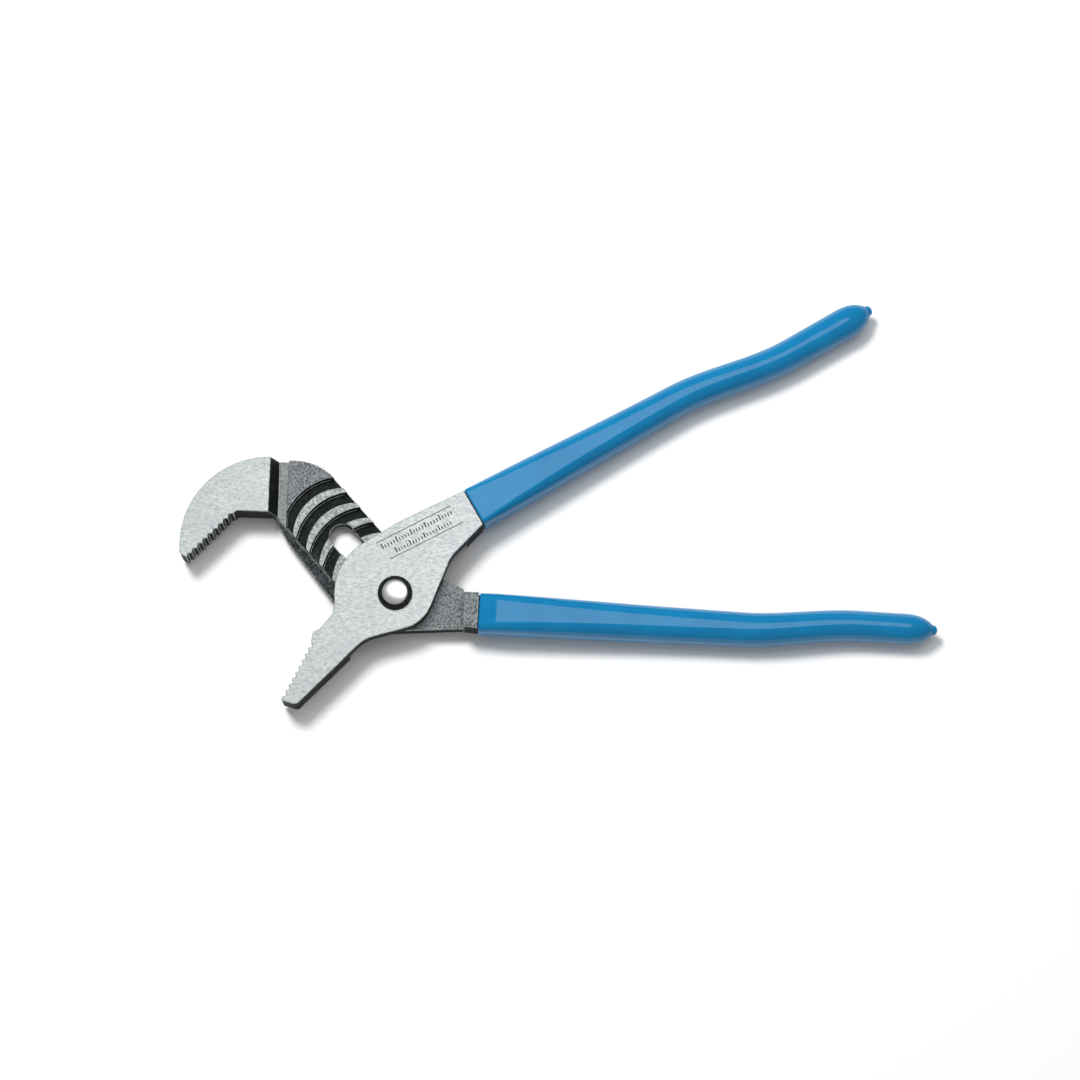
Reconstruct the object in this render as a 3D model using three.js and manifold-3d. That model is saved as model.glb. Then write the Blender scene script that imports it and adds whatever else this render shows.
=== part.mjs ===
// Tongue and groove pliers of the 240 mm class, lying flat and opened to the angle at which they are adjusted.
//
// Two forged halves cross at a bolt. The channel half carries the hooked upper jaw, a slot for the bolt and
// five arc-shaped channels. The tongue half lies over it, turns on the bolt, and carries a tongue on its
// underside that swings into whichever channel the bolt stands at. Each handle wears a dipped plastic grip.
//
// Frame: millimetres, +Z up, X along the channel half's handle. The origin is on the bolt's axis, on the
// plane that the pliers lie on.
import * as THREE from "three";
import { mergeVertices } from "three/addons/utils/BufferGeometryUtils.js";
import Module from "manifold-3d";

const wasm = await Module();
wasm.setup();

// ---------------------------------------------------------------- driving dimensions, mm and degrees

const BACK = 2.3; // height of both forgings' back faces
const FRONT = 11.9; // height of both forgings' front faces
const PAD = 7.0; // height of the channel half's ridges, which the tongue half slides on
const LEDGE = 4.7; // height of the relief ledges round the pad
const CHANNEL_FLOOR = 4.9;
const RUN_GAP = 0.2; // between the two halves, and all round the tongue
const SEAT_GAP = 0.1; // between faces that are clamped together

const SLOT_ANGLE = 131.1; // direction in which the bolt moves towards the upper jaw
const PITCH = 6.55; // distance from one bolt position to the next
const POSITIONS = 5;
const SLOT_R = 3.95;
const SLOT_PLAY = 0.5; // free travel at each end of the slot
const RIM_R = 19.4; // tongue half's edge round the bolt, and the tongue's outer face
const TONGUE_W = 2.9;
const UNDERCUT = 0.3; // how far the hooked face of tongue and channel leans over its height
const SHANK_UPPER = 10.5; // pad edges, measured across the slot from its middle
const SHANK_LOWER = -11.65;

const TEETH = 9; // on each jaw
const TOOTH_DEPTH = 1.0;

const BOLT_R = 4.6; // shoulder that the tongue half turns on
const BOLT_NECK_R = 4.0; // double-D neck in the slot
const BOLT_FLAT = 3.65; // from the middle to each flat
const BOLT_THREAD_R = 3.35;
const HEAD_R = 5.5;
const HEAD_H = 2.3;
const NUT_ACROSS_FLATS = 12.7;
const NUT_BORE_R = 3.6;

const COAT_START = 0.75; // thickness of the dipped plastic
const COAT_END = 1.4;
const TIP = 8; // length over which a grip rounds off to its end
const CORE_GAP = 0.25; // between the steel core and the grip's inside

const ARC_STEP = 9; // degrees of arc to each straight piece of an outline
const RING = 24; // points round a handle's section
const STATIONS = 34; // sections along a handle

// The two handles mirror each other apart from small differences in how far they bend towards each other.
// start is the middle of the grip's open end, and side is +1 where the other handle lies to the left.
const HANDLES = {
  channel: {
    start: [26.6, -5.8],
    angle: -3.25,
    side: 1,
    length: 146,
    bend: [84, 122, 3.4],
    widths: [13.2, 11.4, 9.2],
    flat: 3.7,
  },
  tongue: {
    start: [24.9, 28.2],
    angle: 29.5,
    side: -1,
    length: 146,
    bend: [74, 116, 4.8],
    widths: [13.9, 10.7, 9.4],
    flat: 5.2,
  },
};

const MATERIALS = {
  ground_steel: new THREE.MeshStandardMaterial({ color: 0xc9cfd1, roughness: 0.36, metalness: 1 }),
  shaded_steel: new THREE.MeshStandardMaterial({ color: 0x8d9196, roughness: 0.5, metalness: 1 }),
  bolt_steel: new THREE.MeshStandardMaterial({ color: 0x9a9ca0, roughness: 0.22, metalness: 1 }),
  blue_plastic: new THREE.MeshStandardMaterial({ color: 0x0b6fc0, roughness: 0.3, metalness: 0 }),
};

// ---------------------------------------------------------------- helpers

const rad = THREE.MathUtils.degToRad;
const smooth = (x, from, to) => THREE.MathUtils.smoothstep(x, from, to);
const mix = THREE.MathUtils.lerp;

// A closed geometry as a manifold-3d solid.
function solid(geometry) {
  const bare = new THREE.BufferGeometry();
  bare.setAttribute("position", geometry.getAttribute("position"));
  if (geometry.index) bare.setIndex(geometry.index);
  const merged = mergeVertices(bare, 1e-4);
  return new wasm.Manifold(
    new wasm.Mesh({
      numProp: 3,
      vertProperties: new Float32Array(merged.attributes.position.array),
      triVerts: new Uint32Array(merged.index.array),
    }),
  );
}

// A solid as a named mesh.
function meshOf(name, shape, material) {
  const data = shape.getMesh();
  const geometry = new THREE.BufferGeometry();
  geometry.setAttribute("position", new THREE.BufferAttribute(data.vertProperties, 3));
  geometry.setIndex(new THREE.BufferAttribute(data.triVerts, 1));
  const mesh = new THREE.Mesh(geometry, material);
  mesh.name = name;
  return mesh;
}

// A flat shape standing from one height to another.
function prism(shape, low, high) {
  const geometry = new THREE.ExtrudeGeometry(shape, { depth: high - low, bevelEnabled: false });
  return solid(geometry.translate(0, 0, low));
}

// A profile of [radius, height] points turned round the Z axis.
function turned(profile, segments = 72) {
  const points = profile.map(([r, z]) => new THREE.Vector2(r, z));
  return solid(new THREE.LatheGeometry(points, segments).rotateX(Math.PI / 2));
}

// Points [x, y] along an arc, between two directions in degrees.
function arc([cx, cy], radius, from, to) {
  const steps = Math.ceil(Math.abs(to - from) / ARC_STEP);
  return Array.from({ length: steps + 1 }, (_, i) => {
    const a = rad(mix(from, to, i / steps));
    return [cx + radius * Math.cos(a), cy + radius * Math.sin(a)];
  });
}

// An outline through corners [x, y, radius]. A corner with a radius is rounded.
function outline(corners) {
  const points = corners.flatMap(([x, y, radius = 0], i) => {
    if (!radius) return [[x, y]];
    const here = new THREE.Vector2(x, y);
    const back = new THREE.Vector2(...corners.at(i - 1)).sub(here).normalize();
    const on = new THREE.Vector2(...corners[(i + 1) % corners.length]).sub(here).normalize();
    const half = Math.acos(back.dot(on)) / 2;
    const toCentre = back.clone().add(on).normalize();
    const centre = here.clone().addScaledVector(toCentre, radius / Math.sin(half));
    const middle = THREE.MathUtils.radToDeg(toCentre.angle()) + 180;
    const reach = Math.sign(back.cross(on)) * (THREE.MathUtils.radToDeg(half) - 90);
    return arc(centre.toArray(), radius, middle - reach, middle + reach);
  });
  return new THREE.Shape(points.map((p) => new THREE.Vector2(...p)));
}

// The point that lies s along the slot from the bolt and t across it, towards the upper shank edge.
function slotPoint(s, t, radius = 0) {
  const a = rad(SLOT_ANGLE);
  return [s * Math.cos(a) + t * Math.sin(a), s * Math.sin(a) - t * Math.cos(a), radius];
}

// V-shaped teeth between two ends, cut into the material on the left of the way they run.
function teeth(from, to) {
  const a = new THREE.Vector2(...from);
  const run = new THREE.Vector2(...to).sub(a);
  const inward = new THREE.Vector2(-run.y, run.x).normalize();
  const corners = [];
  for (let i = 0; i < TEETH; i++) {
    const valley = a.clone().addScaledVector(run, (i + 0.5) / TEETH).addScaledVector(inward, TOOTH_DEPTH);
    const crest = a.clone().addScaledVector(run, (i + 1) / TEETH);
    corners.push(valley.toArray(), crest.toArray());
  }
  return [from, ...corners];
}

// The half ring that the tongue fills, or that a channel cuts, with its inner face leaning under.
function arcBand(clearance, low, high) {
  const inner = RIM_R - TONGUE_W - clearance;
  const outer = RIM_R + clearance;
  const ring = turned([
    [inner - UNDERCUT, low],
    [outer, low],
    [outer, high],
    [inner, high],
    [inner - UNDERCUT, low],
  ]);
  const ahead = outline([slotPoint(5, -30), slotPoint(40, -30), slotPoint(40, 30), slotPoint(5, 30)]);
  return ring.intersect(prism(ahead, low - 1, high + 1));
}

// Everything on the far side of a line through a point, as a tall block. normal points into the block.
function beyond([x, y], normalAngle, low, high) {
  const reach = 200;
  const half = new THREE.BoxGeometry(reach, 2 * reach, high - low).translate(reach / 2, 0, (low + high) / 2);
  return solid(half.rotateZ(rad(normalAngle)).translate(x, y, 0));
}

// ---------------------------------------------------------------- handles

// A handle's section at x mm from the grip's open end: half width, half flat, lowest and highest point.
function section(handle, x, inset) {
  const along = THREE.MathUtils.clamp(x / handle.length, 0, 1);
  const [first, middle, last] = handle.widths;
  const width = mix(mix(first, middle, smooth(x, 0, 80)), last, smooth(x, 60, 145)) / 2;
  const flat = mix(handle.flat, 0.5, smooth(x, -10, 84));
  const top = 12.8 - 1.1 * smooth(x, 20, 75) - 1.3 * smooth(x, 75, 145);
  const bottom = 1.4 - 1.4 * smooth(x, 0, 50) + 0.5 * smooth(x, 110, 145);
  const coat = inset * mix(COAT_START, COAT_END, along);
  return { width: width - coat, flat: flat * (1 - 0.15 * inset), top: top - coat, bottom: bottom + coat };
}

// A point just short of a grip's open end, d to the left of the handle's middle.
function besideGrip({ start: [x, y], angle }, d) {
  const c = Math.cos(rad(angle));
  const s = Math.sin(rad(angle));
  return [x - RUN_GAP * c - d * s, y - RUN_GAP * s + d * c];
}

// A handle body swept from one distance to another. inset 0 is the grip's skin and 1 is its inside.
function limb(handle, from, to, inset, extra = 0, tip = 0) {
  const circle = new THREE.Shape().absarc(0, 0, 1, 0, 2 * Math.PI);
  const options = { depth: 1, steps: STATIONS, bevelEnabled: false, curveSegments: RING / 2 };
  const geometry = new THREE.ExtrudeGeometry(circle, options);
  const place = geometry.getAttribute("position");
  const angle = rad(handle.angle);
  const [bendFrom, bendTo, bendDepth] = handle.bend;
  for (let i = 0; i < place.count; i++) {
    const x = from + (to - from) * Math.sin((place.getZ(i) * Math.PI) / 2);
    const cut = section(handle, x, inset);
    const square = 2 / mix(4, 2.1, smooth(x, 0, 60));
    const c = place.getX(i);
    const s = place.getY(i);
    const end = tip ? Math.sqrt(Math.max(0.04, 1 - Math.max(0, (x - to + tip) / tip) ** 2)) : 1;
    const across = Math.sign(c) * (cut.flat + (cut.width - extra - cut.flat) * Math.abs(c) ** square) * end;
    const middle = (cut.top + cut.bottom) / 2;
    const z = middle + Math.sign(s) * Math.abs(s) ** square * ((cut.top - cut.bottom) / 2 - extra) * end;
    const drift = (at) => handle.side * bendDepth * smooth(at, bendFrom, bendTo);
    const turn = Math.atan(drift(x + 0.5) - drift(x - 0.5));
    const ahead = x - across * Math.sin(turn);
    const left = drift(x) + across * Math.cos(turn);
    place.setXYZ(
      i,
      handle.start[0] + ahead * Math.cos(angle) - left * Math.sin(angle),
      handle.start[1] + ahead * Math.sin(angle) + left * Math.cos(angle),
      z,
    );
  }
  return solid(geometry);
}

function core(handle) {
  return limb(handle, -2, handle.length - TIP, 1, CORE_GAP);
}

function grip(handle) {
  const skin = limb(handle, 0, handle.length, 0, 0, TIP);
  return skin.subtract(limb(handle, -1, handle.length - TIP + 2 * CORE_GAP, 1));
}

// ---------------------------------------------------------------- channel half

const STEP_TOP = -40.6; // x of the upper jaw's step at its front edge
const STEP_FOOT = -38.2; // x of the same wall where it meets the ledge
const PAD_EDGE = -35.4; // x where the pad begins
const STEP_TILT = -1.3; // how far the step leans from the Y axis
const NECK_STEP = 21.7; // x where the neck comes back to full thickness

// Outline of the full-thickness upper jaw, seen from the front.
function upperJawOutline() {
  return outline([
    [STEP_FOOT, 44.9],
    [-68.6, 44.9, 28.2],
    [-68.9, 13.0, 2.0],
    ...teeth([-66.3, 11.5], [-51.9, 26.0]),
    [-51.0, 27.0, 1],
    [STEP_FOOT, 26.6],
  ]);
}

const UPPER_EDGE = [
  [NECK_STEP, 2.4],
  slotPoint(4, SHANK_UPPER, 8),
  slotPoint(50.4, SHANK_UPPER, 18),
];

// Shank and neck, up to the ledge.
function shankOutline() {
  return outline([
    [-42, 44.9],
    [-42, 26.6],
    slotPoint(46.2, -12.2, 1.5),
    slotPoint(37, -14.4, 30),
    slotPoint(12, -16.0, 12),
    [-13.2, -10.9, 8],
    [-1, -11.4],
    [NECK_STEP, -10.6],
    ...UPPER_EDGE,
  ]);
}

// The raised pad that the channels are cut in, down to the neck.
function padOutline() {
  return outline([
    [PAD_EDGE + 0.6, 44.9],
    slotPoint(40.6, SHANK_LOWER),
    slotPoint(-4.5, SHANK_LOWER, 6),
    [-1, -11.4],
    [NECK_STEP, -10.6],
    ...UPPER_EDGE,
  ]);
}

function channelNeck() {
  return outline([
    [NECK_STEP, -10.8],
    besideGrip(HANDLES.channel, -5.5),
    besideGrip(HANDLES.channel, 6.1),
    [NECK_STEP, 0.5],
  ]);
}

// The leaning wall between the jaw's front face and the ledge.
function stepCutter() {
  const side = outline([
    [STEP_TOP, FRONT + 0.001],
    [STEP_FOOT, LEDGE],
    [STEP_FOOT + 12, LEDGE],
    [STEP_FOOT + 12, FRONT + 1],
    [STEP_TOP, FRONT + 1],
  ]);
  const wedge = new THREE.ExtrudeGeometry(side, { depth: 60, bevelEnabled: false });
  wedge.rotateX(Math.PI / 2).translate(-STEP_TOP, 30, 0);
  return solid(wedge.rotateZ(rad(STEP_TILT)).translate(STEP_TOP, 36, 0));
}

function slotCutter() {
  const far = slotPoint((POSITIONS - 1) * PITCH + SLOT_PLAY, 0);
  const near = slotPoint(-SLOT_PLAY, 0);
  const across = SLOT_ANGLE - 90;
  const ends = [
    ...arc(far, SLOT_R, across, across + 180),
    ...arc(near, SLOT_R, across + 180, across + 360),
  ];
  return prism(outline(ends), 0, FRONT + 1);
}

function channelHalf() {
  let half = prism(upperJawOutline(), BACK, FRONT)
    .subtract(stepCutter())
    .add(prism(shankOutline(), BACK, LEDGE))
    .add(prism(padOutline(), LEDGE - 1, PAD))
    .add(prism(channelNeck(), BACK, FRONT))
    .add(core(HANDLES.channel))
    .subtract(slotCutter());
  const channel = arcBand(RUN_GAP + 0.1, CHANNEL_FLOOR, PAD + 1);
  for (let i = 0; i < POSITIONS; i++) {
    const [x, y] = slotPoint(i * PITCH, 0);
    half = half.subtract(channel.translate([x, y, 0]));
  }
  return half;
}

// ---------------------------------------------------------------- tongue half

const TONGUE_FROM = SHANK_LOWER - 0.3; // where the tongue begins, across the slot, so that it clears the pad
const TONGUE_TO = 209; // direction in which it ends, from the bolt
const JAW_STEP = [-23.3, -10.4]; // a point on the line where the lower jaw comes to full thickness
const JAW_STEP_NORMAL = 225;
const NECK_FROM = 27.8; // distance from the bolt at which the handle comes to full thickness

// Outline of the whole tongue half in front of its grip.
function tongueOutline() {
  return outline([
    besideGrip(HANDLES.tongue, 6.3),
    [13, 29.4],
    [1, 23.4, 20],
    ...arc([0, 0], RIM_R, 121, 188),
    [-19.6, -6.6, 4],
    [-23.6, -11.4, 1],
    [-26.0, -12.6, 1.5],
    ...teeth([-26.4, -15.9], [-35.2, -33.4]),
    [-35.9, -34.4, 0.7],
    [-30.8, -36.0, 1.8],
    [-9.6, -14.8, 12],
    [9.2, -9.7, 12],
    [17.6, 11.8, 10],
    besideGrip(HANDLES.tongue, -6.3),
  ]);
}

function tongueHalf() {
  const whole = tongueOutline();
  const under = PAD + RUN_GAP;
  const full = prism(whole, BACK, FRONT);
  const jaw = full.intersect(beyond(JAW_STEP, JAW_STEP_NORMAL, BACK - 1, FRONT + 1));
  const { angle } = HANDLES.tongue;
  const neckFrom = [NECK_FROM * Math.cos(rad(angle)), NECK_FROM * Math.sin(rad(angle))];
  const neck = full.intersect(beyond(neckFrom, angle, BACK - 1, FRONT + 1));
  const tongue = arcBand(0, CHANNEL_FLOOR + RUN_GAP, under + 1)
    .rotate([0, 0, 45])
    .intersect(beyond(slotPoint(0, TONGUE_FROM), SLOT_ANGLE + 90, 0, FRONT))
    .intersect(beyond([0, 0], TONGUE_TO - 90, 0, FRONT))
    .intersect(prism(whole, BACK, FRONT));
  return prism(whole, under, FRONT)
    .add(jaw)
    .add(neck)
    .add(tongue)
    .add(core(HANDLES.tongue))
    .subtract(turned([[0, 0], [BOLT_R + 0.15, 0], [BOLT_R + 0.15, 20], [0, 20]], 48));
}

// ---------------------------------------------------------------- pivot

function pivotBolt() {
  const head = [];
  for (let i = 0; i <= 8; i++) {
    const a = (i / 8) * (Math.PI / 2);
    head.push([HEAD_R * Math.cos(a) ** 0.75, FRONT + SEAT_GAP + 0.5 + (HEAD_H - 0.5) * Math.sin(a)]);
  }
  head.at(-1)[0] = 0;
  const under = FRONT + SEAT_GAP;
  const foot = PAD + SEAT_GAP;
  const shoulder = turned([[0, foot], [BOLT_R, foot], [BOLT_R, under], [HEAD_R - 0.2, under], ...head], 48);
  const flats = outline([
    slotPoint(-9, -BOLT_FLAT), slotPoint(9, -BOLT_FLAT), slotPoint(9, BOLT_FLAT), slotPoint(-9, BOLT_FLAT),
  ]);
  const neck = turned([[0, BACK - 0.4], [BOLT_NECK_R, BACK - 0.4], [BOLT_NECK_R, PAD + 1], [0, PAD + 1]], 48)
    .intersect(prism(flats, 0, PAD + 1))
    .subtract(prism(flats, 0, BACK).subtract(turned([[0, -1], [BOLT_THREAD_R, -1], [BOLT_THREAD_R, BACK],
      [0, BACK]], 48)));
  const thread = turned([[0, 0], [BOLT_THREAD_R - 0.4, 0], [BOLT_THREAD_R, 0.4], [BOLT_THREAD_R, BACK + 1],
    [0, BACK + 1]], 48);
  return shoulder.add(neck).add(thread);
}

function pivotNut() {
  const corner = NUT_ACROSS_FLATS / Math.sqrt(3);
  const top = BACK - SEAT_GAP;
  const points = Array.from({ length: 6 }, (_, i) => {
    const a = rad(SLOT_ANGLE + 60 * i);
    return [corner * Math.cos(a), corner * Math.sin(a)];
  });
  const chamfer = turned([[0, 0], [NUT_ACROSS_FLATS / 2 - 0.2, 0], [corner + 0.2, 0.9], [corner + 0.2, top], [0, top]]);
  return prism(outline(points), 0, top)
    .intersect(chamfer)
    .subtract(turned([[0, -1], [NUT_BORE_R, -1], [NUT_BORE_R, BACK], [0, BACK]], 36));
}

// ---------------------------------------------------------------- assembly

const pliers = new THREE.Group();

const channelBody = new THREE.Group();
channelBody.add(
  meshOf("channel_half", channelHalf(), MATERIALS.shaded_steel),
  meshOf("channel_handle_grip", grip(HANDLES.channel), MATERIALS.blue_plastic),
);

const pivotBody = new THREE.Group();
pivotBody.add(
  meshOf("pivot_bolt", pivotBolt(), MATERIALS.bolt_steel),
  meshOf("pivot_nut", pivotNut(), MATERIALS.bolt_steel),
);

const tongueBody = new THREE.Group();
tongueBody.add(
  meshOf("tongue_half", tongueHalf(), MATERIALS.ground_steel),
  meshOf("tongue_handle_grip", grip(HANDLES.tongue), MATERIALS.blue_plastic),
);

pliers.add(channelBody, pivotBody, tongueBody);

export default pliers;
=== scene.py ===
"""Tongue and groove pliers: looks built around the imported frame."""

import math
import random

import bmesh
import bpy
import numpy as np
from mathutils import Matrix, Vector


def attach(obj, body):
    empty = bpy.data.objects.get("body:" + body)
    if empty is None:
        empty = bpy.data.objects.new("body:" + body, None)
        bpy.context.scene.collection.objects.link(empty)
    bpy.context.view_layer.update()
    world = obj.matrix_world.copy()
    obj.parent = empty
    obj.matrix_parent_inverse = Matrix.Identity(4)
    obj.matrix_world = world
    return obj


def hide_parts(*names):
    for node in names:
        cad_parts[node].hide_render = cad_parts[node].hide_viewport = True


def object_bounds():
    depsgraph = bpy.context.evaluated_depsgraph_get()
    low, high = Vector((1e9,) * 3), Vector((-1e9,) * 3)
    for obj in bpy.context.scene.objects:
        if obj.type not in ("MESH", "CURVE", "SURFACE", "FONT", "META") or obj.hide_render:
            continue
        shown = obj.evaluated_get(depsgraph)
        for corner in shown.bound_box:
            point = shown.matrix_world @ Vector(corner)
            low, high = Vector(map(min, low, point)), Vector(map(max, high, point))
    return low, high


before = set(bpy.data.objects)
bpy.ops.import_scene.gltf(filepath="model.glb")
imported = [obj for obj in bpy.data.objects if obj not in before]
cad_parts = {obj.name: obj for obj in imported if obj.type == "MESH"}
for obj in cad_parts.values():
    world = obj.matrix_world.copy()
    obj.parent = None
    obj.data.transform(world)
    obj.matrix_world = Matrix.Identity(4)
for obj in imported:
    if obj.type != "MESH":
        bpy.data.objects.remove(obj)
cad_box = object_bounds()

MM = 0.001

# Heights in the frame, in mm
BACK = 2.3
FRONT = 11.9
PAD = 7.0
CHANNEL_FLOOR = 4.9

SLOT_ANGLE = math.radians(131.1)
SLOT_ACROSS = np.array([math.sin(SLOT_ANGLE), -math.cos(SLOT_ANGLE)])
STRIP_OUTSIDE = -12.2  # mm across the slot, where the painted shade on the ledge's strip is full
STRIP_INSIDE = -11.4  # mm across the slot, where it has faded out

HEAD_R = 5.5
BOLT_NECK_R = 4.0
BOLT_FLAT = 3.65

SMOOTH_ANGLE = math.radians(24)  # faces that meet at less than this are shaded as one
STEEL_METALLIC = 0.7  # of the front, pad, ridge and ledge faces


# ---------------------------------------------------------------- camera, light and floor


def place_camera():
    tilt = math.radians(13.5)
    target = Vector((46.0, 17.3, FRONT)) * MM
    distance = 1.010
    camera = bpy.data.cameras.new("camera")
    camera.sensor_width = 36
    camera.lens = 36 * 3170 / 1080
    camera.clip_start = 0.05
    camera.clip_end = 20
    holder = bpy.data.objects.new("camera", camera)
    holder.location = target + distance * Vector((0, -math.sin(tilt), math.cos(tilt)))
    holder.rotation_euler = (tilt, 0, 0)
    bpy.context.scene.collection.objects.link(holder)
    bpy.context.scene.camera = holder


def place_softbox(name, location, aim, size, power, in_reflections=True):
    """A soft oval light, in metres and watts, which the object may or may not mirror."""
    light = bpy.data.lights.new(name, "AREA")
    light.shape = "ELLIPSE"
    light.size, light.size_y = size
    light.energy = power
    holder = bpy.data.objects.new(name, light)
    holder.location = location
    holder.visible_glossy = in_reflections
    way = Vector(aim) - Vector(location)
    holder.rotation_euler = way.to_track_quat("-Z", "Y").to_euler()
    bpy.context.scene.collection.objects.link(holder)


def light_scene():
    place_softbox("overhead", (0.10, 0.35, 1.20), (0.05, 0.03, 0), (0.95, 0.62), 3.2)
    place_softbox("key", (-0.33, 0.53, 1.10), (0.03, 0.03, 0), (0.40, 0.40), 13, False)
    world = bpy.data.worlds.new("surround")
    world.use_nodes = True
    background = world.node_tree.nodes["Background"]
    background.inputs["Color"].default_value = (0.98, 0.985, 0.98, 1)
    background.inputs["Strength"].default_value = 0.34
    bpy.context.scene.world = world
    bpy.context.scene.view_settings.view_transform = "Standard"
    bpy.context.scene.view_settings.look = "None"


def make_floor():
    mesh = bpy.data.meshes.new("floor")
    half = 3.0
    gap = 0.00002
    mesh.from_pydata(
        [(-half, -half, 0), (half, -half, 0), (half, half, 0), (-half, half, 0)],
        [],
        [(0, 1, 2, 3)],
    )
    floor = bpy.data.objects.new("floor", mesh)
    floor.location.z = cad_box[0][2] - gap
    bpy.context.scene.collection.objects.link(floor)
    material = bpy.data.materials.new("paper")
    material.use_nodes = True
    shader = material.node_tree.nodes["Principled BSDF"]
    shader.inputs["Base Color"].default_value = (0.97, 0.97, 0.965, 1)
    shader.inputs["Roughness"].default_value = 0.9
    shader.inputs["Specular IOR Level"].default_value = 0.1
    mesh.materials.append(material)


# ---------------------------------------------------------------- material building


class Nodes:
    """A material's node tree, with short calls for what these materials use."""

    def __init__(self, name):
        self.material = bpy.data.materials.new(name)
        self.material.use_nodes = True
        self.tree = self.material.node_tree
        self.shader = self.tree.nodes["Principled BSDF"]

    def add(self, kind, inputs=None, **settings):
        node = self.tree.nodes.new(kind)
        for key, value in settings.items():
            setattr(node, key, value)
        for key, value in (inputs or {}).items():
            if isinstance(value, bpy.types.NodeSocket):
                self.tree.links.new(value, node.inputs[key])
            else:
                node.inputs[key].default_value = value
        return node

    def place(self, scale=(1, 1, 1), turn=0.0):
        """Object coordinates in mm, stretched and turned about Z."""
        coordinates = self.add("ShaderNodeTexCoord")
        mapping = self.add("ShaderNodeMapping", {"Vector": coordinates.outputs["Object"]})
        mapping.inputs["Rotation"].default_value = (0, 0, turn)
        mapping.inputs["Scale"].default_value = [s / MM for s in scale]
        return mapping.outputs["Vector"]

    def noise(self, vector, scale, detail=3.0, roughness=0.55, distortion=0.0):
        inputs = {
            "Vector": vector,
            "Scale": scale,
            "Detail": detail,
            "Roughness": roughness,
            "Distortion": distortion,
        }
        return self.add("ShaderNodeTexNoise", inputs).outputs["Fac"]

    def ramp(self, value, low, high, first, last):
        """first below low, last above high, and a straight mix between."""
        node = self.add("ShaderNodeMapRange", {"Value": value, "From Min": low, "From Max": high})
        node.inputs["To Min"].default_value = first
        node.inputs["To Max"].default_value = last
        return node.outputs["Result"]

    def mix(self, factor, first, last):
        node = self.add("ShaderNodeMix", data_type="RGBA")
        sockets = (node.inputs[0], node.inputs[6], node.inputs[7])
        for socket, value in zip(sockets, (factor, first, last)):
            if isinstance(value, bpy.types.NodeSocket):
                self.tree.links.new(value, socket)
            elif socket == node.inputs[0]:
                socket.default_value = value
            else:
                socket.default_value = (*value, 1)
        return node.outputs[2]

    def tint(self, value, low, high, first, last, most=1.0):
        """Goes from first towards last as value goes from low to high, and no further than most."""
        return self.mix(self.ramp(value, low, high, 0.0, most), first, last)

    def bump(self, height, strength, distance=0.05, onto=None):
        inputs = {"Height": height, "Strength": strength, "Distance": distance * MM}
        if onto is not None:
            inputs["Normal"] = onto
        return self.add("ShaderNodeBump", inputs).outputs["Normal"]

    def set(self, **inputs):
        for key, value in inputs.items():
            socket = self.shader.inputs[key.replace("_", " ")]
            if isinstance(value, bpy.types.NodeSocket):
                self.tree.links.new(value, socket)
            elif isinstance(value, tuple):
                socket.default_value = (*value, 1)
            else:
                socket.default_value = value
        return self.material


def ground_steel():
    """Bright belt-ground face: fine lines along one way, over a mottle drawn out the same way."""
    n = Nodes("ground_steel")
    grinding = math.radians(-24)
    lines = n.noise(n.place((1, 7, 1), grinding), 0.8, 4)
    mottle = n.noise(n.place((1, 2, 1), grinding), 0.8, 4, 0.62, 0.5)
    patches = n.noise(n.place(), 0.11, 2)
    tone = n.tint(mottle, 0.38, 0.62, (0.27, 0.30, 0.305), (0.59, 0.625, 0.625))
    tone = n.tint(lines, 0.42, 0.62, tone, (0.66, 0.69, 0.69), 0.45)
    tone = n.tint(patches, 0.45, 0.7, tone, (0.38, 0.42, 0.425), 0.3)
    normal = n.bump(lines, 0.30, 0.03)
    normal = n.bump(mottle, 0.42, 0.08, normal)
    rough = n.ramp(mottle, 0.3, 0.7, 0.30, 0.42)
    return n.set(Base_Color=tone, Metallic=STEEL_METALLIC, Roughness=rough, Normal=normal)


def pad_steel():
    """Forged flats below the ground face: rough and grey."""
    n = Nodes("pad_steel")
    grain = n.noise(n.place(), 1.3, 5, 0.65)
    cloud = n.noise(n.place(), 0.25, 3)
    tone = n.tint(grain, 0.41, 0.59, (0.06, 0.073, 0.08), (0.39, 0.42, 0.43))
    tone = n.tint(cloud, 0.4, 0.7, tone, (0.36, 0.39, 0.395), 0.35)
    normal = n.bump(grain, 0.7, 0.06)
    rough = n.ramp(grain, 0.3, 0.7, 0.42, 0.62)
    return n.set(Base_Color=tone, Metallic=STEEL_METALLIC, Roughness=rough, Normal=normal)


def ridge_steel():
    """Tops of the ridges, rubbed bright by the other half."""
    n = Nodes("ridge_steel")
    grain = n.noise(n.place(), 1.2, 5, 0.62)
    tone = n.tint(grain, 0.42, 0.60, (0.20, 0.22, 0.225), (0.58, 0.61, 0.61))
    normal = n.bump(grain, 0.4, 0.05)
    rough = n.ramp(grain, 0.3, 0.7, 0.36, 0.5)
    return n.set(Base_Color=tone, Metallic=STEEL_METALLIC, Roughness=rough, Normal=normal)


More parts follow.
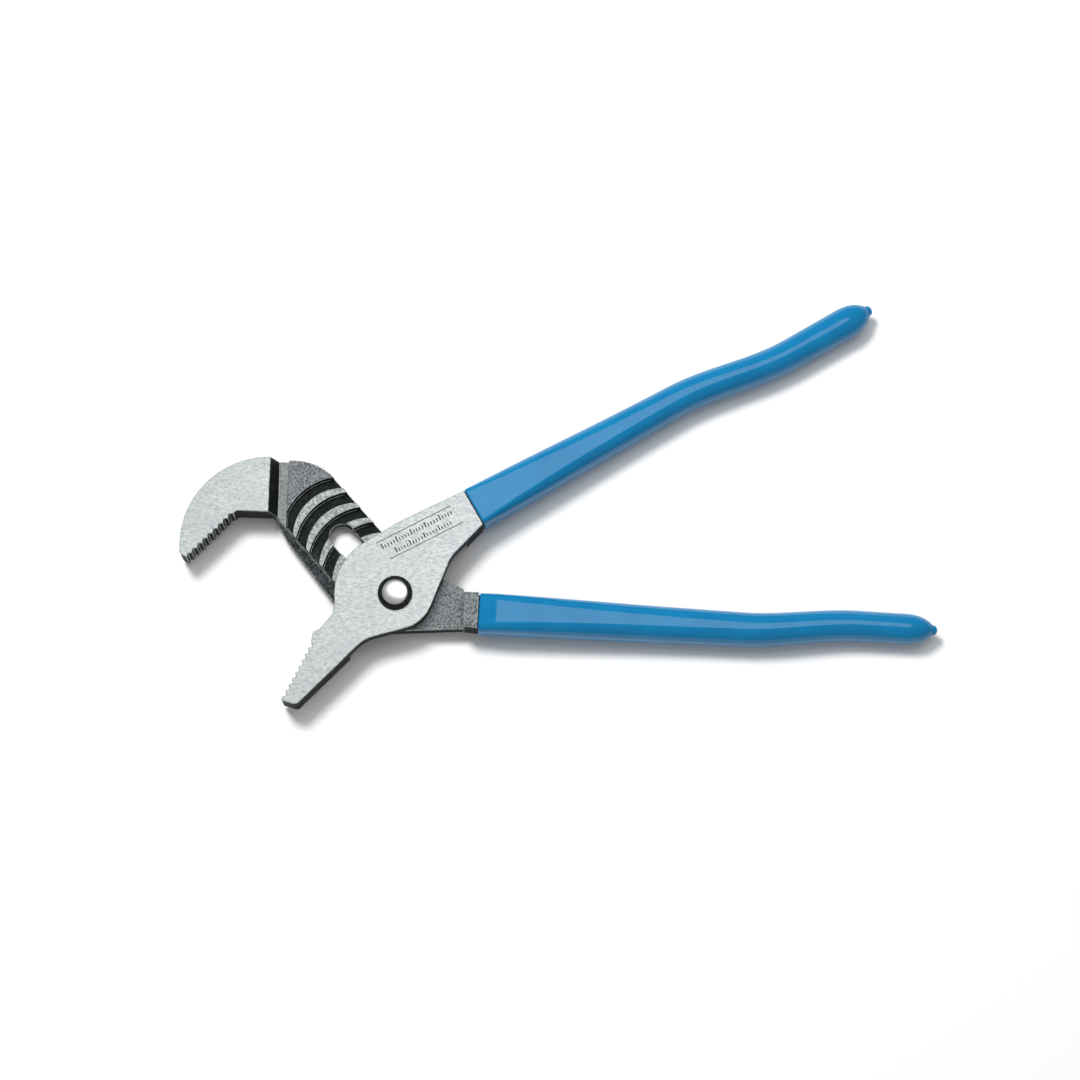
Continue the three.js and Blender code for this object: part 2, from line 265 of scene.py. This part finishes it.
def ledge_steel():
    """The ledge at the foot of the step: grey, and near-black along the strip outside the slot, where that
    near-black is painted shade from the pad's step.
    """
    n = Nodes("ledge_steel")
    grain = n.noise(n.place(), 1.2, 5, 0.62)
    place = n.add("ShaderNodeTexCoord").outputs["Object"]
    across = n.add("ShaderNodeVectorMath", {0: place, 1: (*SLOT_ACROSS, 0)}, operation="DOT_PRODUCT")
    strip = n.ramp(across.outputs["Value"], STRIP_OUTSIDE * MM, STRIP_INSIDE * MM, 1.0, 0.0)
    tone = n.tint(grain, 0.34, 0.64, (0.13, 0.14, 0.145), (0.38, 0.40, 0.40))
    # painted shade: near-black along the strip at the foot of the pad's step
    painted_strip_shade = n.tint(grain, 0.42, 0.66, (0.006, 0.008, 0.009), (0.10, 0.11, 0.115))
    tone = n.mix(strip, tone, painted_strip_shade)
    normal = n.bump(grain, 0.4, 0.05)
    rough = n.ramp(grain, 0.3, 0.7, 0.36, 0.5)
    return n.set(Base_Color=tone, Metallic=STEEL_METALLIC, Roughness=rough, Normal=normal)


def scale_and_painted_shade_steel():
    """Unground forging skin, a near-black scale with a slight sheen. Its near-black is partly painted shade:
    it stands in for the shade and dim reflections on the walls, slopes and channel floors.
    """
    n = Nodes("scale_and_painted_shade_steel")
    grain = n.noise(n.place(), 1.1, 5, 0.6)
    worn = n.noise(n.place(), 0.3, 4, 0.7)
    tone = n.tint(grain, 0.35, 0.7, (0.006, 0.007, 0.007), (0.026, 0.030, 0.031))
    tone = n.tint(worn, 0.58, 0.78, tone, (0.10, 0.11, 0.115), 0.6)
    normal = n.bump(grain, 0.45, 0.07)
    rough = n.ramp(grain, 0.3, 0.7, 0.48, 0.68)
    return n.set(Base_Color=tone, Roughness=rough, Specular_IOR_Level=0.07, Normal=normal)


def back_steel():
    """The side they lie on: ground flat, then darkened by handling."""
    n = Nodes("back_steel")
    lines = n.noise(n.place((1, 8, 1), math.radians(20)), 0.5, 4)
    grain = n.noise(n.place(), 0.8, 4)
    tone = n.tint(grain, 0.35, 0.7, (0.20, 0.22, 0.225), (0.40, 0.43, 0.43))
    return n.set(Base_Color=tone, Metallic=1.0, Roughness=0.42, Normal=n.bump(lines, 0.3, 0.04))


def edge_steel():
    """Broken edges, where handling keeps the steel bright."""
    n = Nodes("edge_steel")
    grain = n.noise(n.place(), 0.9, 4, 0.65)
    tone = n.tint(grain, 0.38, 0.6, (0.20, 0.22, 0.23), (0.62, 0.65, 0.65))
    return n.set(Base_Color=tone, Metallic=1.0, Roughness=0.34, Normal=n.bump(grain, 0.2, 0.04))


def stamp_dark():
    """Bottoms of the stamped marks."""
    n = Nodes("stamp_dark")
    grain = n.noise(n.place(), 2.0, 3)
    tone = n.tint(grain, 0.35, 0.7, (0.012, 0.014, 0.014), (0.08, 0.09, 0.09))
    return n.set(Base_Color=tone, Metallic=0.3, Roughness=0.6)


def bolt_polish():
    """Polished dome of the bolt's head."""
    n = Nodes("bolt_polish")
    lines = n.noise(n.place(), 1.2, 3)
    tone = n.tint(lines, 0.35, 0.7, (0.70, 0.71, 0.70), (0.84, 0.85, 0.84))
    return n.set(Base_Color=tone, Metallic=1.0, Roughness=0.24, Normal=n.bump(lines, 0.06, 0.05))


def bolt_oxide_and_painted_reflection():
    """Blackened nut, and the bolt head's near-black rim, where the near-black is a painted reflection of the
    dim surroundings that the dome's lower slope mirrors.
    """
    n = Nodes("bolt_oxide_and_painted_reflection")
    grain = n.noise(n.place(), 1.0, 4)
    tone = n.tint(grain, 0.4, 0.72, (0.006, 0.007, 0.007), (0.035, 0.038, 0.038))
    return n.set(Base_Color=tone, Metallic=0.5, Roughness=n.ramp(grain, 0.3, 0.7, 0.24, 0.4))


def blue_dip():
    """Glossy dipped plastic, with the faint ripple and haze of a dipped coat."""
    n = Nodes("blue_dip")
    ripple = n.noise(n.place((0.25, 0.25, 0.6)), 0.35, 2)
    haze = n.noise(n.place(), 0.12, 3)
    fine = n.noise(n.place(), 2.2, 3)
    tone = n.tint(haze, 0.35, 0.7, (0.0, 0.172, 0.385), (0.0, 0.198, 0.425))
    normal = n.bump(ripple, 0.22, 0.22)
    normal = n.bump(fine, 0.05, 0.02, normal)
    rough = n.ramp(haze, 0.3, 0.7, 0.10, 0.15)
    return n.set(Base_Color=tone, Roughness=rough, Normal=normal, Specular_IOR_Level=0.40)


# ---------------------------------------------------------------- forgings

EDGE_WIDTH = 0.22  # mm, of the broken edges
WELD = 0.03  # mm, points closer than this are one
FLAT_ANGLE = math.radians(0.8)  # faces that meet at less than this are one
LEVEL = 0.95  # least share of Z in the normal of a face that lies flat
NEAR = 0.3  # mm, how far a flat face may be from its height
LEAST_BEVELLED = 1.0  # mm2, smallest face whose edges are broken
CORE_MID = 7.1  # mm, height of the middle of the steel inside the grips
CORE_SHARE = 0.8  # share of its height that the steel keeps inside the visual grip
CORE_LEAD = 0.5  # mm, how far ahead of the grip's start that begins
CORE_SKIN = 0.05  # mm, steel this close to the front or back face is left alone
RIDGE_AREA = 100  # mm2, more than any ridge's top and less than the pad's
# scale is the near-black finish of the walls, slopes and channel floors, and its near-black is partly
# painted shade
FACE_KINDS = ["front", "pad", "ridge", "ledge", "scale", "back", "edge", "stamp"]


def face_kind(face, node):
    """Which finish a forging's flat face has, from the way it looks, its height and its size."""
    centre = face.calc_center_median() / MM
    height = centre.z
    if face.normal.z > LEVEL:
        if height > FRONT - NEAR:
            return "pad" if node == "channel_half" and centre.x > 0 else "front"
        if height > PAD - NEAR:
            return "ridge" if face.calc_area() / MM**2 < RIDGE_AREA else "pad"
        # flat faces between the channel floor and the pad, the channel floors among them, are scale, whose
        # near-black is partly painted shade
        return "ledge" if height < CHANNEL_FLOOR - 0.1 else "scale"
    if face.normal.z < -LEVEL and height < BACK + NEAR:
        return "back"
    # walls and slopes are scale, whose near-black is partly painted shade
    return "scale"


def cad_mesh(node, name, materials):
    """A copy of a CAD node's mesh, with the materials given."""
    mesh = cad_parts[node].data.copy()
    mesh.name = name
    mesh.materials.clear()
    for material in materials:
        mesh.materials.append(material)
    return mesh


def shade(b):
    """Smooth shading, with sharp edges where the faces meet at more than the smooth angle."""
    for face in b.faces:
        face.smooth = True
    for edge in b.edges:
        edge.smooth = len(edge.link_faces) == 2 and edge.calc_face_angle(0) < SMOOTH_ANGLE


def link_piece(mesh):
    """An object of the mesh's name in the scene."""
    piece = bpy.data.objects.new(mesh.name, mesh)
    bpy.context.scene.collection.objects.link(piece)
    return piece


def break_edges(piece, width):
    """A bevel of a width in mm, which the caller limits to some of the edges."""
    bevel = piece.modifiers.new("broken edges", "BEVEL")
    bevel.width = width * MM
    bevel.segments = 2
    bevel.harden_normals = True
    return bevel


def slim_core(b, handle):
    """Thins the hidden steel inside the grip, so that it stays under the sloped start of the coat."""
    ahead = Vector((math.cos(handle["angle"]), math.sin(handle["angle"]), 0))
    start = Vector((*handle["start"], 0)) * MM
    for vert in b.verts:
        height = vert.co.z / MM
        inside = BACK + CORE_SKIN < height < FRONT - CORE_SKIN
        if inside and (vert.co - start).dot(ahead) > -CORE_LEAD * MM:
            vert.co.z = (CORE_MID + (height - CORE_MID) * CORE_SHARE) * MM


def forging(node, handle, materials, cutters=None):
    """A CAD forging with its flat faces joined up, its edges broken and a finish on each kind of face."""
    mesh = cad_mesh(node, node + "_forging", [materials[kind] for kind in FACE_KINDS])
    b = bmesh.new()
    b.from_mesh(mesh)
    bmesh.ops.remove_doubles(b, verts=b.verts, dist=WELD * MM)
    bmesh.ops.dissolve_degenerate(b, dist=WELD * MM, edges=b.edges)
    bmesh.ops.dissolve_limit(
        b, angle_limit=FLAT_ANGLE, verts=b.verts, edges=b.edges, delimit={"NORMAL"}
    )
    slim_core(b, handle)
    for face in b.faces:
        face.material_index = FACE_KINDS.index(face_kind(face, node))
    shade(b)
    weights = b.edges.layers.float.new("bevel_weight_edge")
    for edge in b.edges:
        smallest = min(face.calc_area() for face in edge.link_faces) / MM**2
        edge[weights] = 0.0 if edge.smooth or smallest < LEAST_BEVELLED else 1.0
    b.to_mesh(mesh)
    b.free()
    piece = link_piece(mesh)
    bevel = break_edges(piece, EDGE_WIDTH)
    bevel.limit_method = "WEIGHT"
    bevel.use_clamp_overlap = False
    bevel.material = FACE_KINDS.index("edge")
    if cutters:
        cut = piece.modifiers.new("stamped marks", "BOOLEAN")
        cut.object = cutters
        cut.solver = "EXACT"
        cut.material_mode = "TRANSFER"
    return piece


# ---------------------------------------------------------------- grips

# start and angle are where the grip opens and which way it runs, side is +1 where the bend goes to its left,
# bend is from, to and depth, widths are at the start, the middle and the end, swell is added to half the
# width near the tip, facet is half its width and how fast it fades, and ramp is the length of the slope at
# the start. Lengths are in mm.
HANDLES = {
    "channel": {
        "start": (26.6, -5.8),
        "angle": math.radians(-3.25),
        "side": 1,
        "length": 146.0,
        "bend": (84, 122, 3.4),
        "widths": (13.2, 11.4, 9.2),
        "swell": 0.15,
        "facet": (4.2, 60.0),
        "ramp": 5.6,
    },
    "tongue": {
        "start": (24.9, 28.2),
        "angle": math.radians(29.5),
        "side": -1,
        "length": 146.0,
        "bend": (74, 116, 4.8),
        "widths": (13.9, 10.7, 9.4),
        "swell": 0.47,
        "facet": (6.1, 45.0),
        "ramp": 0.0,
    },
}
STATIONS = 190
FACET_POINTS = 10
RING_POINTS = 84
TIP = 11.0  # mm, length over which the end rounds off
DRIP = 1.2  # mm, length of the drip beyond that
DRIP_SHARE = 0.33  # of the full section
LIP = 0.55  # mm, radius of the rounded lip
INSIDE_END = 7.6  # mm, from the tip to the end of the hollow
THICKEN = 0.5  # mm, how much the coat gains towards the tip
LEAST_FACET = 0.35  # mm, half width of the facet once it has faded


def smooth(x, low, high):
    t = np.clip((x - low) / (high - low), 0, 1)
    return t * t * (3 - 2 * t)


def drift(handle, x):
    """How far the handle's middle has bent to its left at x."""
    low, high, depth = handle["bend"]
    return handle["side"] * depth * smooth(x, low, high)


def ring(handle, x):
    """Points [across, z] round the grip at x, in mm, facet first."""
    first, middle, last = handle["widths"]
    half = first + (middle - first) * smooth(x, 0, 80)
    half = (half + (last - half) * smooth(x, 60, 145)) / 2
    swell = handle["swell"] * smooth(x, 95, 140)
    half += swell
    top = 12.8 - 1.1 * smooth(x, 20, 75) - 1.3 * smooth(x, 75, 145)
    bottom = 1.4 - 1.4 * smooth(x, 0, 50) + 0.5 * smooth(x, 110, 145)
    if x < handle["ramp"]:
        top -= 1.3 * (1 - x / handle["ramp"]) ** 0.9
    wide, fade = handle["facet"]
    facet = max(LEAST_FACET, min(wide * math.exp(-x / fade), half - 0.75))
    power = 2.0 + 1.45 * math.exp(-x / 26)
    mid = (top + bottom) / 2
    lift = (top - mid) / (1 - (facet / half) ** power) ** (1 / power)
    begin = math.asin(min(1.0, ((top - mid) / lift) ** (power / 2)))
    points = [(facet * (1 - 2 * i / FACET_POINTS), top) for i in range(FACET_POINTS)]
    turn = math.pi - begin
    for i in range(RING_POINTS + 1):
        a = turn + (math.pi + 2 * begin) * i / RING_POINTS
        c, s = math.cos(a), math.sin(a)
        reach = lift if s > 0 else mid - bottom
        across = math.copysign(abs(c) ** (2 / power), c) * half
        points.append((across, mid + math.copysign(abs(s) ** (2 / power), s) * reach))
    outward = np.array([-handle["side"] * swell, 0.0])
    return np.array(points[:-1]) + outward, np.array([0.0, mid]) + outward


def tip_shape(handle, x):
    """Share of the full section left at x: the rounded end, with the drip at its very tip."""
    length = handle["length"]
    body = length - DRIP
    u = np.clip((x - (body - TIP)) / TIP, 0, 1)
    share = max(0.0, 1 - u**3.0) ** 0.64
    drip = 0.0
    if x > body - TIP:
        drip = DRIP_SHARE * math.sqrt(max(0.0, 1 - max(0.0, (x - body) / DRIP) ** 2))
    return max((share**3 + drip**3) ** (1 / 3), 0.02)


def grip(name, handle, node, body, material):
    """The dipped coat of one handle: a closed shell, from its inside end round the lip to the drip."""
    length = handle["length"]
    rings = []
    for x in np.linspace(length - INSIDE_END, 0.0, 40):
        points, centre = ring(handle, x)
        rings.append((x, shrink(points, centre, LIP + THICKEN * x / length)))
    for step in np.linspace(0, math.pi / 2, 6)[1:]:
        x = LIP * (1 - math.cos(step))
        points, centre = ring(handle, x)
        rings.append((x, shrink(points, centre, LIP * (1 - math.sin(step)))))
    straight = np.linspace(LIP, length - TIP, STATIONS)[1:]
    rounding = length - TIP + (TIP - 0.02) * np.sin(np.linspace(0, math.pi / 2, 40))[1:]
    for x in (*straight, *rounding):
        points, centre = ring(handle, x)
        rings.append((x, centre + (points - centre) * tip_shape(handle, x)))
    sweep(name, handle, rings, node, body, material)


def shrink(points, centre, inset):
    """A ring moved in towards its centre by a distance."""
    away = points - centre
    reach = np.linalg.norm(away, axis=1, keepdims=True)
    return centre + away * (1 - inset / reach)


def sweep(name, handle, rings, node, body, material):
    ca, sa = math.cos(handle["angle"]), math.sin(handle["angle"])
    verts = []
    for x, points in rings:
        turn = math.atan(float(drift(handle, x + 0.5) - drift(handle, x - 0.5)))
        middle = float(drift(handle, x))
        for across, z in points:
            ahead = x - across * math.sin(turn)
            left = middle + across * math.cos(turn)
            verts.append(
                (
                    (handle["start"][0] + ahead * ca - left * sa) * MM,
                    (handle["start"][1] + ahead * sa + left * ca) * MM,
                    z * MM,
                )
            )
    count = len(rings[0][1])
    faces = []
    for row in range(len(rings) - 1):
        for i in range(count):
            a = row * count + i
            b = row * count + (i + 1) % count
            faces.append((a, b, b + count, a + count))
    faces.append(tuple(reversed(range(count))))
    faces.append(tuple((len(rings) - 1) * count + i for i in range(count)))
    mesh = bpy.data.meshes.new(name)
    mesh.from_pydata(verts, [], faces)
    b = bmesh.new()
    b.from_mesh(mesh)
    bmesh.ops.recalc_face_normals(b, faces=b.faces)
    for face in b.faces:
        face.smooth = True
    b.to_mesh(mesh)
    b.free()
    mesh.materials.append(material)
    piece = link_piece(mesh)
    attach(piece, body)
    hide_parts(node)


# ---------------------------------------------------------------- bolt and nut

ROUND = 96  # sides of a turned shape
CROWN_R = 3.75
CROWN_RISE = 0.38
CROWN_BANDS = 8
NUT_WELD = 0.002  # mm
NUT_FLAT_ANGLE = math.radians(0.6)
NUT_EDGE_WIDTH = 0.18  # mm


def lathe(name, profile, material_of, materials):
    """A profile of [radius, height] in mm turned round the bolt's axis.

    material_of gives each band's place in the list of materials.
    """
    b = bmesh.new()
    rows = []
    for r, z in profile:
        if r < 1e-6:
            rows.append([b.verts.new((0, 0, z * MM))])
        else:
            angles = [2 * math.pi * i / ROUND for i in range(ROUND)]
            rows.append(
                [b.verts.new((r * MM * math.cos(a), r * MM * math.sin(a), z * MM)) for a in angles]
            )
    for k in range(len(rows) - 1):
        low, high = rows[k], rows[k + 1]
        for i in range(ROUND):
            j = (i + 1) % ROUND
            corners = [low[i % len(low)], low[j % len(low)], high[j % len(high)], high[i % len(high)]]
            face = b.faces.new(list(dict.fromkeys(corners)))
            face.material_index = material_of(k)
            face.smooth = True
    bmesh.ops.recalc_face_normals(b, faces=b.faces)
    mesh = bpy.data.meshes.new(name)
    b.to_mesh(mesh)
    b.free()
    for material in materials:
        mesh.materials.append(material)
    return link_piece(mesh)


def arc(centre, radius, first, last, steps):
    """Points on an arc, between two directions in degrees."""
    angles = np.radians(np.linspace(first, last, steps))
    return [(centre[0] + radius * math.cos(a), centre[1] + radius * math.sin(a)) for a in angles]


def flatten_neck(mesh, neck_top):
    """Makes the round neck a double D, flat where it slides along the slot's sides."""
    near = 0.01
    for vert in mesh.vertices:
        if BACK - near < vert.co.z / MM < neck_top + near:
            t = vert.co.x * SLOT_ACROSS[0] + vert.co.y * SLOT_ACROSS[1]
            over = t - max(-BOLT_FLAT * MM, min(BOLT_FLAT * MM, t))
            if abs(vert.co.xy.length - BOLT_NECK_R * MM) < near * MM:
                vert.co.x -= over * SLOT_ACROSS[0]
                vert.co.y -= over * SLOT_ACROSS[1]


def bolt(materials):
    """Plain end, double-D neck, round shoulder, and a head with a near-black rim, which is a painted
    reflection, and a polished crown.
    """
    seat = FRONT + 0.1
    neck_top = PAD + 0.1
    end_r = 3.35
    shoulder_r = 4.6
    rim_r = 0.5
    profile = [(0, 0.12), (1.6, 0.1), (2.3, 0), (2.9, 0), (end_r, 0.42), (end_r, BACK)]
    profile += [(BOLT_NECK_R, BACK), (BOLT_NECK_R, neck_top)]
    profile += [(shoulder_r, neck_top), (shoulder_r, seat), (HEAD_R - rim_r, seat)]
    profile += arc((HEAD_R - rim_r, seat + 0.52), rim_r, -75, 40, 8)
    profile += [(HEAD_R - rim_r, seat + 1.05), (HEAD_R - 1.15, seat + 1.5)]
    bands = len(profile)
    profile += [(CROWN_R + 0.3, seat + 1.64)]
    for i in range(CROWN_BANDS + 1):
        r = CROWN_R * (1 - i / CROWN_BANDS)
        profile.append((r, seat + 1.74 + CROWN_RISE * (1 - (r / CROWN_R) ** 2)))
    piece = lathe("pivot_bolt_body", profile, lambda k: 0 if k < bands else 1, materials)
    flatten_neck(piece.data, neck_top)
    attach(piece, "pivot")
    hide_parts("pivot_bolt")


def nut_copy(material):
    """The nut, with its corners broken."""
    mesh = cad_mesh("pivot_nut", "pivot_nut_body", [material])
    b = bmesh.new()
    b.from_mesh(mesh)
    bmesh.ops.remove_doubles(b, verts=b.verts, dist=NUT_WELD * MM)
    bmesh.ops.dissolve_limit(b, angle_limit=NUT_FLAT_ANGLE, verts=b.verts, edges=b.edges)
    shade(b)
    b.to_mesh(mesh)
    b.free()
    piece = link_piece(mesh)
    bevel = break_edges(piece, NUT_EDGE_WIDTH)
    bevel.limit_method = "ANGLE"
    bevel.angle_limit = SMOOTH_ANGLE
    bpy.context.view_layer.update()
    apply_modifiers(piece)
    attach(piece, "pivot")
    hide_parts("pivot_nut")


# ---------------------------------------------------------------- stamped marks


BOX_FACES = ((3, 2, 1, 0), (4, 5, 6, 7), (0, 1, 5, 4), (1, 2, 6, 5), (2, 3, 7, 6), (3, 0, 4, 7))
STAMP_ANGLE = math.radians(27.6)
STAMP_MIDDLE = np.array([7.9, 19.6])
STAMP_DEPTH = 0.22
RULES = ((3.55, -14.2, 12.6), (-3.1, -12.4, 13.6))  # offset across, and both ends along
RULE_HALF = 0.12
MARK_ROWS = ((1.75, -13.0, 11.6, 1.9), (-1.25, -9.6, 10.6, 1.7))  # the same, and the height of a tall mark
MARK_PITCH = 1.02
MARK_SHIFT = 0.04  # how unevenly the marks are struck
TALL_EVERY = 5
TALL_WIDTH = 0.42
SHORT_WIDTH = 0.34
SHORT_SHARE = 0.62


def stamp_bars():
    """Two ruled lines with rows of plain graduation marks between them: low, high, bottom and top in mm."""
    rng = random.Random(11)
    bars = [(low, high, offset - RULE_HALF, offset + RULE_HALF) for offset, low, high in RULES]
    for offset, low, high, tall in MARK_ROWS:
        at = low
        number = 0
        base = offset - tall / 2
        while at < high:
            is_tall = number % TALL_EVERY == 0
            mark = tall if is_tall else tall * SHORT_SHARE
            width = TALL_WIDTH if is_tall else SHORT_WIDTH
            bars.append((at, at + width, base, base + mark))
            at += MARK_PITCH + rng.uniform(-MARK_SHIFT, MARK_SHIFT)
            number += 1
    return bars


def stamp_cutters(material):
    """The marks as solids to cut from the front face."""
    along = np.array([math.cos(STAMP_ANGLE), math.sin(STAMP_ANGLE)])
    across = np.array([-along[1], along[0]])
    b = bmesh.new()
    for low, high, bottom, top in stamp_bars():
        corners = []
        for z in (FRONT - STAMP_DEPTH, FRONT + 0.5):
            for s, t in ((low, bottom), (high, bottom), (high, top), (low, top)):
                x, y = STAMP_MIDDLE + along * s + across * t
                corners.append(b.verts.new((x * MM, y * MM, z * MM)))
        for quad in BOX_FACES:
            b.faces.new([corners[i] for i in quad])
    bmesh.ops.recalc_face_normals(b, faces=b.faces)
    mesh = bpy.data.meshes.new("stamp_cutters")
    b.to_mesh(mesh)
    b.free()
    mesh.materials.append(material)
    return link_piece(mesh)


def apply_modifiers(piece):
    """Leaves the piece with its final mesh and no modifiers."""
    view = bpy.context.evaluated_depsgraph_get()
    mesh = bpy.data.meshes.new_from_object(piece.evaluated_get(view), depsgraph=view)
    piece.modifiers.clear()
    piece.data = mesh


# ---------------------------------------------------------------- assembly


def build():
    place_camera()
    light_scene()
    make_floor()

    kinds = {
        "front": ground_steel(),
        "pad": pad_steel(),
        "ridge": ridge_steel(),
        "ledge": ledge_steel(),
        # scale: near-black forging skin, partly painted shade on the walls and in the channels
        "scale": scale_and_painted_shade_steel(),
        "back": back_steel(),
        "edge": edge_steel(),
        "stamp": stamp_dark(),
    }
    # near-black for the nut, and a painted reflection on the bolt head's rim
    oxide_and_painted_reflection = bolt_oxide_and_painted_reflection()
    dip = blue_dip()

    channel = forging("channel_half", HANDLES["channel"], kinds)
    cutters = stamp_cutters(kinds["stamp"])
    tongue = forging("tongue_half", HANDLES["tongue"], kinds, cutters)
    bpy.context.view_layer.update()
    halves = ((channel, "channel_half", "channel_half"), (tongue, "tongue_half", "tongue_half"))
    for piece, node, body in halves:
        apply_modifiers(piece)
        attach(piece, body)
        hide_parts(node)
    bpy.data.objects.remove(cutters)

    grip("channel_grip_skin", HANDLES["channel"], "channel_handle_grip", "channel_half", dip)
    grip("tongue_grip_skin", HANDLES["tongue"], "tongue_handle_grip", "tongue_half", dip)

    bolt([oxide_and_painted_reflection, bolt_polish()])
    nut_copy(oxide_and_painted_reflection)


build()
